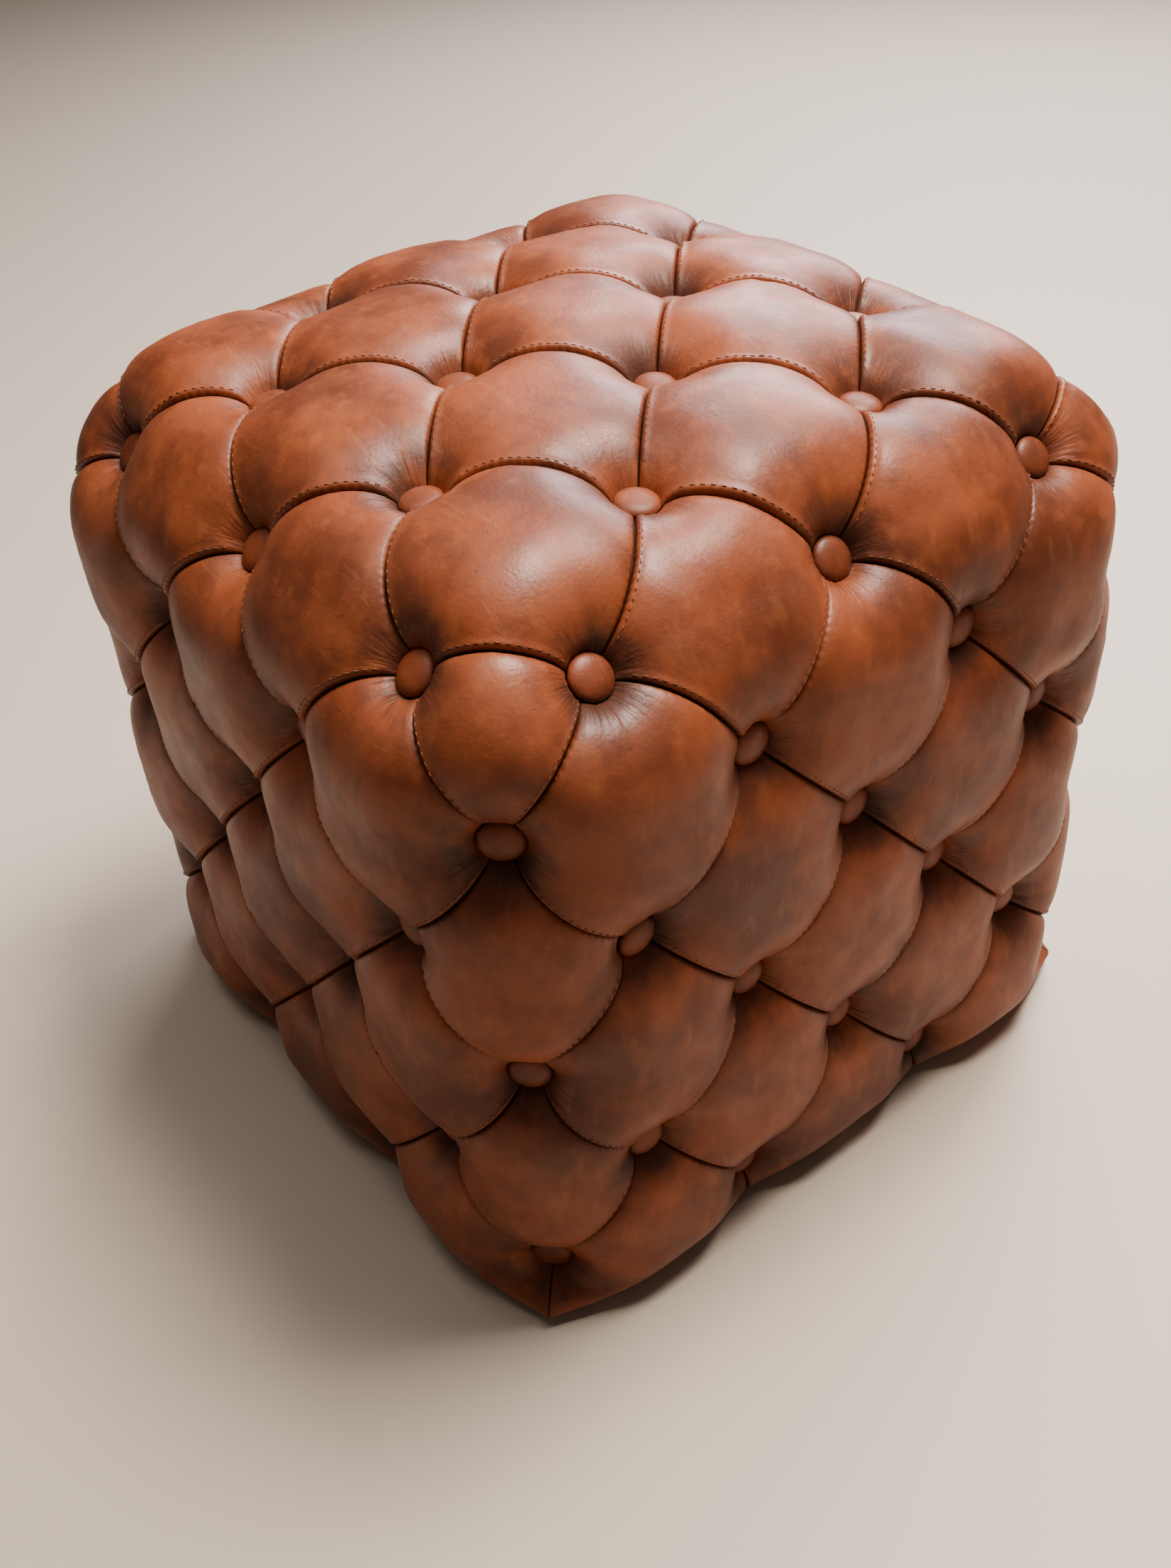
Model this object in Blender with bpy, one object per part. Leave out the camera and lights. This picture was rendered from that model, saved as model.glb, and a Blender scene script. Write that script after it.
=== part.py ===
"""Deep-buttoned leather cube ottoman, as the separate pieces that it is upholstered from.

Metres, +Z up. The origin is the middle of the footprint, on the floor that the glides stand on.

Every face is laid out on one lattice. A lattice point is (i, j, k): i and j are half diamonds
from the middle along X and Y, and k is rows down from the top, as a negative number. A whole
point on the surface whose sum is odd carries a button, and one whose sum is even is the middle
of a leather panel, also on the edges and at the corners.
"""

from itertools import product
from math import cos, hypot, pi, sin, sqrt

import bmesh
import bpy
from mathutils import Matrix, Vector

# Driving dimensions
OVERALL_WIDTH = 0.496          # both ways, from panel middle to panel middle
OVERALL_HEIGHT = 0.490         # from the floor to the middle of the middle top panel
TOP_CROWN = 0.026              # how far the middle of the top stands above its edges
LOWEST_ROW_HEIGHT = 0.037      # from the floor to the lowest row of buttons
PANEL_CREST = 0.028            # how far the middle of a panel stands out from the button backs
SEAM_RISE = 0.019              # how far a seam stands out halfway between its buttons
HEM_CREST = 0.018              # how far a panel stands out where it turns under
HEM_SEAM = 0.012
EDGE_RADIUS = 0.0725           # of the soft block's edges, at the depth of the button backs
HEM_RADIUS = 0.020             # of its upright edges at the hem, which is pulled round the frame
LEATHER = 0.0015
LEATHER_TO_FOAM = 0.0006
FOAM_AT_BUTTONS = 0.037        # foam squeezed between a button and the frame

BUTTON_RADIUS = 0.0115
BUTTON_HEIGHT = 0.006
BUTTON_RIM = 0.0015            # how far the rim is rounded in at the back
BUTTON_SHOULDER = (0.7, 0.8)   # where the dome bends, as shares of its radius and height
BUTTON_SIDES = 8
BUTTON_SEAT = 0.0008           # from a button's rim to the leather under it
TWINE = 0.002                  # the doubled and waxed twine, as a square
TWINE_HOLE = 0.0048            # from a hole's middle to its corners, in the leather
TWINE_ROOM = 0.0006            # round the twine, in foam and plywood

DECK = 0.015
SIDE_PLY = 0.009
FRAME_CHAMFER = 0.008          # along the frame's outer edges, where the edge lacing runs
POST = 0.025
RAIL = 0.025                   # width of the bottom rails and the cross brace
RAIL_TO_LACING = 0.0028        # from the top of the rails up to the lowest lacing

GLIDE_HEIGHT = 0.005
GLIDE_RADIUS = 0.011
GLIDE_SOLE = 0.8               # the sole's radius and the top's, as shares of the glide's
GLIDE_TOP = 0.9
GLIDE_SIDES = 16
NAIL_RADIUS = 0.0012
NAIL_LENGTH = 0.022
NAIL_ROOM = 0.0004
DUST_COVER = 0.0008
DUST_COVER_LAP = 0.006         # of the dust cover over the leather that is turned under
TURN_UNDER = 0.015             # of the leather under the frame

GAP = 0.0003                   # between pieces that touch
CUT = 0.004                    # how far a cutter runs past what it cuts
NEAR = 1e-4                    # lattice places closer than this are the same place

# What follows from them
HALF_DIAMONDS = 3              # from the middle of a face to its edge
ROWS = 5
SETTLING_STEPS = 20            # a dip's depth and its slopes depend on each other
BLOCK_HALF = OVERALL_WIDTH / 2 - PANEL_CREST
BLOCK_TOP = OVERALL_HEIGHT - PANEL_CREST - TOP_CROWN
PITCH = BLOCK_HALF / HALF_DIAMONDS
ROW_PITCH = (BLOCK_TOP - LOWEST_ROW_HEIGHT) / ROWS
FRAME_HALF = BLOCK_HALF - FOAM_AT_BUTTONS
FRAME_TOP = BLOCK_TOP - FOAM_AT_BUTTONS
DUST_COVER_BOTTOM = GLIDE_HEIGHT + GAP
COVER_BOTTOM = DUST_COVER_BOTTOM + DUST_COVER + GAP
FRAME_BOTTOM = COVER_BOTTOM + LEATHER + GAP
HEM_ROW = -(BLOCK_TOP - COVER_BOTTOM) / ROW_PITCH
TURN_UNDER_EDGE = FRAME_HALF - TURN_UNDER
PLY_INSIDE = FRAME_HALF - SIDE_PLY
POST_CENTRE = PLY_INSIDE - GAP - POST / 2
DECK_BOTTOM = FRAME_TOP - DECK
RAIL_TOP = LOWEST_ROW_HEIGHT - TWINE / 2 - RAIL_TO_LACING


def leather_slopes(depth):
    """How steeply the leather rises from a dip, towards a panel's middle and square to that."""
    run = min(PITCH, ROW_PITCH)
    return (PANEL_CREST + depth) / run, (2 * SEAM_RISE - PANEL_CREST + depth) / run


def depth_under_button():
    """How deep the leather dips under a button whose rim sits on the slopes round it."""
    depth = 0.0
    for _ in range(SETTLING_STEPS):
        depth = BUTTON_SEAT + BUTTON_RADIUS * hypot(*leather_slopes(depth))
    return depth


PIT_DEPTH = depth_under_button()
# Halfway down from a lowest button to the hem, the seam still has to clear the button's rim.
LOW_SEAM_RISE = leather_slopes(PIT_DEPTH)[1] * (LOWEST_ROW_HEIGHT - COVER_BOTTOM) / 2 - PIT_DEPTH

AXES = (Vector((1, 0, 0)), Vector((0, 1, 0)), Vector((0, 0, 1)))
SIDES = {"front": (0, -1), "right": (1, 0), "back": (0, 1), "left": (-1, 0)}


def material(name, colour, roughness, metallic=0.0):
    made = bpy.data.materials.new(name)
    made.use_nodes = True
    shader = made.node_tree.nodes["Principled BSDF"]
    shader.inputs["Base Color"].default_value = (*colour, 1.0)
    shader.inputs["Roughness"].default_value = roughness
    shader.inputs["Metallic"].default_value = metallic
    made.diffuse_color = (*colour, 1.0)
    return made


def new_object(name, mesh_work, finish=None):
    mesh = bpy.data.meshes.new(name)
    mesh_work.to_mesh(mesh)
    mesh_work.free()
    made = bpy.data.objects.new(name, mesh)
    bpy.context.collection.objects.link(made)
    if finish:
        mesh.materials.append(finish)
    return made


def cutter(name, mesh_work):
    made = new_object(name, mesh_work)
    made.hide_render = True
    made.display_type = "WIRE"
    return made


def boolean(target, operation, other):
    step = target.modifiers.new(operation.title(), "BOOLEAN")
    step.operation = operation
    step.object = other


def add_box(mesh_work, low, high):
    """A box between two corners."""
    size = Vector(high) - Vector(low)
    middle = (Vector(high) + Vector(low)) / 2
    place = Matrix.Translation(middle) @ Matrix.Diagonal((*size, 1))
    bmesh.ops.create_cube(mesh_work, size=1, matrix=place)


def box(name, low, high, finish=None):
    mesh_work = bmesh.new()
    add_box(mesh_work, low, high)
    if finish is None:
        return cutter(name, mesh_work)
    return new_object(name, mesh_work, finish)


def add_turned(mesh_work, profile, sides, place):
    """A closed turned shape. The profile's (radius, height) points run from one pole to the other."""
    rings = []
    for radius, height in profile:
        if radius == 0:
            rings.append([mesh_work.verts.new(place @ Vector((0, 0, height)))])
            continue
        turns = [2 * pi * step / sides for step in range(sides)]
        ring = [Vector((radius * cos(turn), radius * sin(turn), height)) for turn in turns]
        rings.append([mesh_work.verts.new(place @ point) for point in ring])
    for lower, upper in zip(rings, rings[1:]):
        for step in range(sides):
            after = (step + 1) % sides
            if len(lower) == 1:
                mesh_work.faces.new((lower[0], upper[after], upper[step]))
            elif len(upper) == 1:
                mesh_work.faces.new((lower[step], lower[after], upper[0]))
            else:
                mesh_work.faces.new((lower[step], lower[after], upper[after], upper[step]))


# The lattice and the soft surface


def onto_surface(point):
    """A lattice point inside an edge of the block, moved out square to that edge onto the faces."""
    depths = [HALF_DIAMONDS - abs(point.x), HALF_DIAMONDS - abs(point.y), -point.z]
    nearest = sorted(range(3), key=lambda axis: depths[axis])
    move = depths[nearest[0]]
    outward = Vector((1 if point.x > 0 else -1, 1 if point.y > 0 else -1, 1))
    moved = point.copy()
    for axis in nearest[:2]:
        moved[axis] += move * outward[axis]
    return moved


def crown(lattice):
    """How far the crown lifts a point of the top, and the slope that it has there."""
    u = lattice.x / HALF_DIAMONDS
    v = lattice.y / HALF_DIAMONDS
    slope = Vector((u * (1 - v * v), v * (1 - u * u), 0)) * (-2 * TOP_CROWN / BLOCK_HALF)
    return TOP_CROWN * (1 - u * u) * (1 - v * v), slope


def block_point(lattice):
    """Where a lattice point lies on the rounded block, and the direction that faces out there."""
    flat = Vector((lattice.x * PITCH, lattice.y * PITCH, BLOCK_TOP + lattice.z * ROW_PITCH))
    share_to_hem = max(0, 2 * (ROWS + lattice.z) / (ROWS + HEM_ROW) - 1)
    radius = EDGE_RADIUS + (HEM_RADIUS - EDGE_RADIUS) * share_to_hem
    reach = BLOCK_HALF - radius
    core = Vector(
        (
            max(-reach, min(reach, flat.x)),
            max(-reach, min(reach, flat.y)),
            min(BLOCK_TOP - radius, flat.z),
        )
    )
    outward = (flat - core).normalized()
    rise, _ = crown(lattice)
    return core + outward * radius + Vector((0, 0, rise)), outward


def button_direction(lattice):
    """The way a button faces: square to the crowned top, or halfway to that on its edges."""
    _, outward = block_point(lattice)
    _, slope = crown(lattice)
    return (outward - slope * outward.z**2).normalized()


def lattice_points():
    """Every whole lattice point on the top and the sides, down to the lowest row."""
    across = range(-HALF_DIAMONDS, HALF_DIAMONDS + 1)
    for i, j, k in product(across, across, range(-ROWS, 1)):
        if k == 0 or HALF_DIAMONDS in (abs(i), abs(j)):
            yield Vector((i, j, k))


def on_lattice(point):
    inside = abs(point.x) <= HALF_DIAMONDS and abs(point.y) <= HALF_DIAMONDS and point.z <= 0
    return inside and (point.z == 0 or HALF_DIAMONDS in (abs(point.x), abs(point.y)))


def is_button(point):
    return round(point.x + point.y + point.z) % 2 == 1


def outward_faces(point):
    """The directions of the block's faces that a lattice point lies on."""
    found = []
    if point.z == 0:
        found.append(Vector((0, 0, 1)))
    for axis in AXES[:2]:
        if abs(point.dot(axis)) == HALF_DIAMONDS:
            found.append(axis * (1 if point.dot(axis) > 0 else -1))
    return found


def panel_outline(centre):
    """A panel's corners in order round its middle, seen from outside."""
    steps = [axis * sign for axis in AXES for sign in (1, -1)]
    corners = [centre + step for step in steps if on_lattice(centre + step)]
    if centre.z == -ROWS:
        along = Vector((-outward_faces(centre)[0].y, outward_faces(centre)[0].x, 0))
        hem = Vector((centre.x, centre.y, HEM_ROW))
        corners = [point for point in corners if point.z >= -ROWS]
        corners += [hem + along, hem - along]
    outward = sum(outward_faces(centre), Vector()).normalized()
    start = (corners[0] - centre).normalized()
    start = (start - outward * start.dot(outward)).normalized()
    across = outward.cross(start)

    def turn(corner):
        from_centre = corner - centre
        return Vector((start.dot(from_centre), across.dot(from_centre))).angle_signed(Vector((1, 0)))

    return sorted(corners, key=turn)


def relief(point, centre, corners):
    """How far the leather stands out at a panel's middle, corner or half-way point on a seam."""
    if point == centre:
        return PANEL_CREST
    at_hem = abs(point.z - HEM_ROW) < NEAR
    if point in corners:
        return HEM_SEAM if at_hem else -PIT_DEPTH
    if at_hem:
        return HEM_CREST
    return LOW_SEAM_RISE if point.z < -ROWS else SEAM_RISE


def add_quilted_surface(mesh_work, sunk, bottom, holes):
    """The tufted surface, sunk by a depth. Returns its vertices by lattice place, for joining."""
    found = {}

    def vertex(lattice, height):
        key = tuple(round(value, 4) for value in lattice)
        if key not in found:
            at, outward = block_point(onto_surface(lattice))
            at += outward * (height - sunk)
            if abs(lattice.z - HEM_ROW) < NEAR:
                at.z = bottom
            found[key] = mesh_work.verts.new(at)
        return found[key]

    def hole_corner(button, middle, height):
        """A point on the seam from a button to the middle of a seam, at the edge of the hole."""
        key = ("hole", *(round(value, 4) for value in (*button, *(middle - button))))
        if key not in found:
            start, outward = block_point(button)
            start += outward * (-PIT_DEPTH - sunk)
            end, outward = block_point(onto_surface(middle))
            end += outward * (height - sunk)
            reach = TWINE_HOLE / (end - start).length
            found[key] = mesh_work.verts.new(start.lerp(end, reach))
        return found[key]

    for centre in lattice_points():
        if is_button(centre):
            continue
        corners = panel_outline(centre)
        middles = [(corner + corners[index - 1]) / 2 for index, corner in enumerate(corners)]
        for index, corner in enumerate(corners):
            before = middles[index]
            after = middles[(index + 1) % len(corners)]
            height_before = relief(before, centre, corners)
            height_after = relief(after, centre, corners)
            first = vertex(centre, PANEL_CREST)
            second = vertex(before, height_before)
            fourth = vertex(after, height_after)
            if holes and is_button(corner) and corner.z >= -ROWS:
                near = hole_corner(corner, before, height_before)
                far = hole_corner(corner, after, height_after)
                mesh_work.faces.new((first, second, near))
                mesh_work.faces.new((first, near, far))
                mesh_work.faces.new((first, far, fourth))
            else:
                third = vertex(corner, relief(corner, centre, corners))
                mesh_work.faces.new((first, second, third))
                mesh_work.faces.new((first, third, fourth))
    return found


def is_hem(key):
    return key[0] != "hole" and abs(key[2] - HEM_ROW) < NEAR


def leather_cover(leather):
    """Both faces of the sewn cover, joined round each twine hole and where it is turned under."""
    mesh_work = bmesh.new()
    outer = add_quilted_surface(mesh_work, 0, COVER_BOTTOM, True)
    outside = list(mesh_work.faces)
    inner = add_quilted_surface(mesh_work, LEATHER, COVER_BOTTOM + LEATHER, True)
    inside = [face for face in mesh_work.faces if face not in set(outside)]
    bmesh.ops.reverse_faces(mesh_work, faces=inside)
    edge_shrink = TURN_UNDER_EDGE / HALF_DIAMONDS
    turned = {
        side: {
            key: mesh_work.verts.new((key[0] * edge_shrink, key[1] * edge_shrink, height))
            for key in outer
            if is_hem(key)
        }
        for side, height in (("outer", COVER_BOTTOM), ("inner", COVER_BOTTOM + LEATHER))
    }
    key_of = {vertex: key for key, vertex in outer.items()}
    for edge in [edge for edge in mesh_work.edges if len(edge.link_faces) == 1]:
        if edge.verts[0] not in key_of:
            continue
        loop = edge.link_loops[0]
        start = key_of[loop.vert]
        end = key_of[loop.link_loop_next.vert]
        if is_hem(start):
            chain = (outer, turned["outer"], turned["inner"], inner)
        else:
            chain = (outer, inner)
        for near, far in zip(chain, chain[1:]):
            mesh_work.faces.new((near[end], near[start], far[start], far[end]))
    return new_object("leather_cover", mesh_work, leather)


def foam_block():
    """The whole foam as one closed shape, which the pads are cut from."""
    mesh_work = bmesh.new()
    add_quilted_surface(mesh_work, LEATHER + LEATHER_TO_FOAM, FRAME_BOTTOM, False)
    rim = [edge for edge in mesh_work.edges if len(edge.link_faces) == 1]
    bmesh.ops.contextual_create(mesh_work, geom=rim)
    bmesh.ops.triangulate(mesh_work, faces=[face for face in mesh_work.faces if len(face.verts) > 3])
    bmesh.ops.recalc_face_normals(mesh_work, faces=mesh_work.faces)
    return mesh_work


# Buttons, twine and lacing


class Row:
    """Buttons in one straight row, on parallel twines that one run of lacing joins."""

    def __init__(self, name, buttons, depth):
        self.name = name
        places = [block_point(Vector(button)) for button in buttons]
        self.seats = [place for place, _ in places]
        self.facing = [button_direction(Vector(button)) for button in buttons]
        self.outward = places[0][1]
        self.along = (self.seats[-1] - self.seats[0]).normalized()
        self.depth = depth

    def frame_at(self, seat, facing):
        """Axes at a button: X along the row, Z the way that it faces."""
        across = facing.cross(self.along).normalized()
        turn = Matrix((across.cross(facing), across, facing)).transposed().to_4x4()
        return Matrix.Translation(seat) @ turn

    def add_comb(self, mesh_work, thickness, twine_top):
        """The twines and the lacing that joins them, as one flat comb."""
        half = thickness / 2
        place = self.frame_at(self.seats[0], self.outward)
        steps = [seat - self.seats[0] for seat in self.seats]
        teeth = [(step.dot(self.along), step.dot(self.outward)) for step in steps]
        first = teeth[0][0]
        last = teeth[-1][0]
        spine = -self.depth - TWINE / 2
        outline = [(first - half, spine - half)]
        outline.append((last + half, spine - half))
        for tooth, rise in reversed(teeth):
            if tooth != last:
                outline.append((tooth + half, spine + half))
            outline.append((tooth + half, rise + twine_top))
            outline.append((tooth - half, rise + twine_top))
            if tooth != first:
                outline.append((tooth - half, spine + half))
        points = [mesh_work.verts.new(place @ Vector((x, -half, z))) for x, z in outline]
        face = mesh_work.faces.new(points)
        moved = bmesh.ops.extrude_face_region(mesh_work, geom=[face])["geom"]
        raised = [item for item in moved if isinstance(item, bmesh.types.BMVert)]
        shift = place.to_3x3() @ Vector((0, thickness, 0))
        bmesh.ops.translate(mesh_work, verts=raised, vec=shift)
        bmesh.ops.recalc_face_normals(mesh_work, faces=mesh_work.faces)

    def build(self, finish):
        """The covered buttons on their twines, as one closed piece."""
        domes = bmesh.new()
        shoulder_radius, shoulder_height = BUTTON_SHOULDER
        profile = (
            (0, 0),
            (BUTTON_RADIUS - BUTTON_RIM, 0),
            (BUTTON_RADIUS, BUTTON_RIM),
            (BUTTON_RADIUS * shoulder_radius, BUTTON_HEIGHT * shoulder_height),
            (0, BUTTON_HEIGHT),
        )
        for seat, facing in zip(self.seats, self.facing):
            add_turned(domes, profile, BUTTON_SIDES, self.frame_at(seat, facing))
        row = new_object(self.name, domes, finish)
        comb = bmesh.new()
        self.add_comb(comb, TWINE, BUTTON_HEIGHT / 3)
        boolean(row, "UNION", cutter(self.name + "_twine", comb))
        return row

    def add_room(self, mesh_work):
        """The room that the twine and its lacing need in foam and plywood."""
        room = bmesh.new()
        self.add_comb(room, TWINE + 2 * TWINE_ROOM, CUT)
        spare = bpy.data.meshes.new("room")
        room.to_mesh(spare)
        room.free()
        mesh_work.from_mesh(spare)
        bpy.data.meshes.remove(spare)


def button_rows():
    """Every row of buttons, with the depth at which its lacing lies."""
    ply_depth = FOAM_AT_BUTTONS + SIDE_PLY + GAP
    deck_depth = FOAM_AT_BUTTONS + DECK + GAP
    rounding = EDGE_RADIUS * (sqrt(2) - 1)
    to_chamfer = FOAM_AT_BUTTONS * sqrt(2) + FRAME_CHAMFER / sqrt(2) - rounding
    edge_depth = to_chamfer - GAP - TWINE
    inner = range(1 - HALF_DIAMONDS, HALF_DIAMONDS)
    rows = []
    for number, j in enumerate(inner, 1):
        buttons = [(i, j, 0) for i in inner if is_button(Vector((i, j, 0)))]
        rise, _ = crown(Vector(buttons[0]))
        rows.append(Row(f"button_row_top_{number}", buttons, deck_depth + rise))
    for side, (x, y) in SIDES.items():
        for row in range(1, ROWS + 1):
            spots = [(x * HALF_DIAMONDS - y * u, y * HALF_DIAMONDS + x * u, -row) for u in inner]
            buttons = [spot for spot in spots if is_button(Vector(spot))]
            rows.append(Row(f"button_row_{side}_{row}", buttons, ply_depth))
        edge = [(x * HALF_DIAMONDS - y * u, y * HALF_DIAMONDS + x * u, 0) for u in inner]
        buttons = [spot for spot in edge if is_button(Vector(spot))]
        rows.append(Row(f"edge_buttons_top_{side}", buttons, edge_depth))
        corner = ((x - y) * HALF_DIAMONDS, (y + x) * HALF_DIAMONDS)
        upright = [(*corner, -row) for row in range(1, ROWS + 1)]
        buttons = [spot for spot in upright if is_button(Vector(spot))]
        rows.append(Row(f"edge_buttons_{side}_corner", buttons, edge_depth))
    return rows


# Frame and base


def chamfered_box(low, high, edges_to_cut, chamfer):
    """A box whose chosen edges are cut at 45 degrees. edges_to_cut takes an edge's two ends."""
    mesh_work = bmesh.new()
    add_box(mesh_work, low, high)
    chosen = [edge for edge in mesh_work.edges if edges_to_cut(*(v.co for v in edge.verts))]
    bmesh.ops.bevel(mesh_work, geom=chosen, offset=chamfer, segments=1, affect="EDGES")
    return mesh_work


def deck(plywood, rooms):
    low = (-FRAME_HALF, -FRAME_HALF, DECK_BOTTOM)
    high = (FRAME_HALF, FRAME_HALF, FRAME_TOP)

    def top_edge(a, b):
        return min(a.z, b.z) > FRAME_TOP - GAP

    made = new_object("deck_panel", chamfered_box(low, high, top_edge, FRAME_CHAMFER), plywood)
    boolean(made, "DIFFERENCE", rooms)


def side_panels(plywood, rooms):
    """Front and back run the full width. Left and right fit between them."""
    top = DECK_BOTTOM - GAP
    for side, (x, y) in SIDES.items():
        if y:
            inside, outside = sorted((y * PLY_INSIDE, y * FRAME_HALF))
            low = (-FRAME_HALF, inside, FRAME_BOTTOM)
            high = (FRAME_HALF, outside, top)
            outer_face = y * FRAME_HALF

            def upright_outer_edge(a, b):
                on_face = abs(a.y - outer_face) < GAP and abs(b.y - outer_face) < GAP
                return on_face and abs(a.z - b.z) > GAP

            mesh_work = chamfered_box(low, high, upright_outer_edge, FRAME_CHAMFER)
        else:
            inside, outside = sorted((x * PLY_INSIDE, x * FRAME_HALF))
            mesh_work = bmesh.new()
            width = PLY_INSIDE - GAP
            add_box(mesh_work, (inside, -width, FRAME_BOTTOM), (outside, width, top))
        made = new_object(f"side_panel_{side}", mesh_work, plywood)
        boolean(made, "DIFFERENCE", rooms)


def posts_and_rails(timber):
    half = POST / 2
    for x, y in product((-1, 1), (-1, 1)):
        name = f"corner_post_{'back' if y > 0 else 'front'}_{'right' if x > 0 else 'left'}"
        centre = Vector((x * POST_CENTRE, y * POST_CENTRE, 0))
        low = centre + Vector((-half, -half, FRAME_BOTTOM))
        high = centre + Vector((half, half, DECK_BOTTOM - GAP))
        post = box(name, low, high, timber)
        bore = bmesh.new()
        profile = nail_profile(NAIL_ROOM)
        add_turned(bore, profile, GLIDE_SIDES // 2, Matrix.Translation(centre))
        boolean(post, "DIFFERENCE", cutter(name + "_bore", bore))
    reach = POST_CENTRE - half - GAP
    near = PLY_INSIDE - GAP
    for side, (x, y) in SIDES.items():
        ends = [Vector((x * (near - RAIL) - y * reach, y * (near - RAIL) + x * reach, FRAME_BOTTOM))]
        ends.append(Vector((x * near + y * reach, y * near - x * reach, RAIL_TOP)))
        low = [min(values) for values in zip(*ends)]
        high = [max(values) for values in zip(*ends)]
        box(f"bottom_rail_{side}", low, high, timber)
    brace = near - RAIL - GAP
    box("cross_brace", (-RAIL / 2, -brace, FRAME_BOTTOM), (RAIL / 2, brace, RAIL_TOP), timber)


def nail_profile(room):
    """The nail of a glide, or with room round it, the hole that it needs."""
    radius = NAIL_RADIUS + room
    tip = GLIDE_HEIGHT + NAIL_LENGTH + room
    return ((0, 0), (radius, 0), (radius, tip - 2 * NAIL_RADIUS), (0, tip))


def base(plastic, cloth):
    """The dust cover and the four nailed glides that it is held by."""
    half = TURN_UNDER_EDGE + DUST_COVER_LAP
    low = (-half, -half, DUST_COVER_BOTTOM)
    dust_cover = box("dust_cover", low, (half, half, DUST_COVER_BOTTOM + DUST_COVER), cloth)
    nail_holes = bmesh.new()
    profile = (
        (0, 0),
        (GLIDE_RADIUS * GLIDE_SOLE, 0),
        (GLIDE_RADIUS, GLIDE_HEIGHT / 2),
        (GLIDE_RADIUS * GLIDE_TOP, GLIDE_HEIGHT),
        (NAIL_RADIUS, GLIDE_HEIGHT),
        *nail_profile(0)[2:],
    )
    for x, y in product((-1, 1), (-1, 1)):
        place = Matrix.Translation((x * POST_CENTRE, y * POST_CENTRE, 0))
        add_turned(nail_holes, nail_profile(NAIL_ROOM), GLIDE_SIDES // 2, place)
        glide = bmesh.new()
        add_turned(glide, profile, GLIDE_SIDES, place)
        name = f"glide_{'back' if y > 0 else 'front'}_{'right' if x > 0 else 'left'}"
        new_object(name, glide, plastic)
    boolean(dust_cover, "DIFFERENCE", cutter("dust_cover_holes", nail_holes))


def foam_pads(foam, rooms):
    """A top pad over the frame. Front and back pads run the full width, left and right between."""
    far = OVERALL_WIDTH
    face = FRAME_HALF + GAP
    low_z = FRAME_BOTTOM - CUT
    regions = {
        "top": ((-far, -far, FRAME_TOP + GAP), (far, far, BLOCK_TOP + far)),
        "front": ((-far, -far, low_z), (far, -face, FRAME_TOP)),
        "back": ((-far, face, low_z), (far, far, FRAME_TOP)),
        "left": ((-far, -FRAME_HALF, low_z), (-face, FRAME_HALF, FRAME_TOP)),
        "right": ((face, -FRAME_HALF, low_z), (far, FRAME_HALF, FRAME_TOP)),
    }
    for side, (low, high) in regions.items():
        pad = new_object(f"foam_pad_{side}", foam_block(), foam)
        boolean(pad, "INTERSECT", box(f"foam_pad_{side}_region", low, high))
        boolean(pad, "DIFFERENCE", rooms)


def build():
    for old in list(bpy.data.objects):
        bpy.data.objects.remove(old, do_unlink=True)
    leather = material("saddle_leather", (0.26, 0.085, 0.03), 0.42)
    foam = material("foam", (0.80, 0.72, 0.48), 0.95)
    plywood = material("plywood", (0.62, 0.45, 0.27), 0.7)
    timber = material("timber", (0.55, 0.38, 0.20), 0.7)
    plastic = material("nylon", (0.02, 0.02, 0.02), 0.45)
    cloth = material("dust_cloth", (0.025, 0.025, 0.028), 0.95)

    rows = button_rows()
    room_work = bmesh.new()
    for row in rows:
        row.build(leather)
        row.add_room(room_work)
    rooms = cutter("twine_rooms", room_work)
    leather_cover(leather)
    foam_pads(foam, rooms)
    deck(plywood, rooms)
    side_panels(plywood, rooms)
    posts_and_rails(timber)
    base(plastic, cloth)
    for piece in bpy.data.objects:
        piece.data.shade_flat()


build()
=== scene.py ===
"""The looks of the deep-buttoned leather cube ottoman.

The tufted cover, its seams, stitches and buttons are made here at full detail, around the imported
frame. Every face shares one lattice of half diamonds: whole points whose sum is odd carry a
button, and whole points whose sum is even are the middles of the leather panels. A panel is
divided into kites, one for each of its corners, from its middle (0, 0) to the button at (1, 1).
"""

import math

import bmesh
import bpy
import numpy as np
from mathutils import Matrix, Vector, noise


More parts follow.
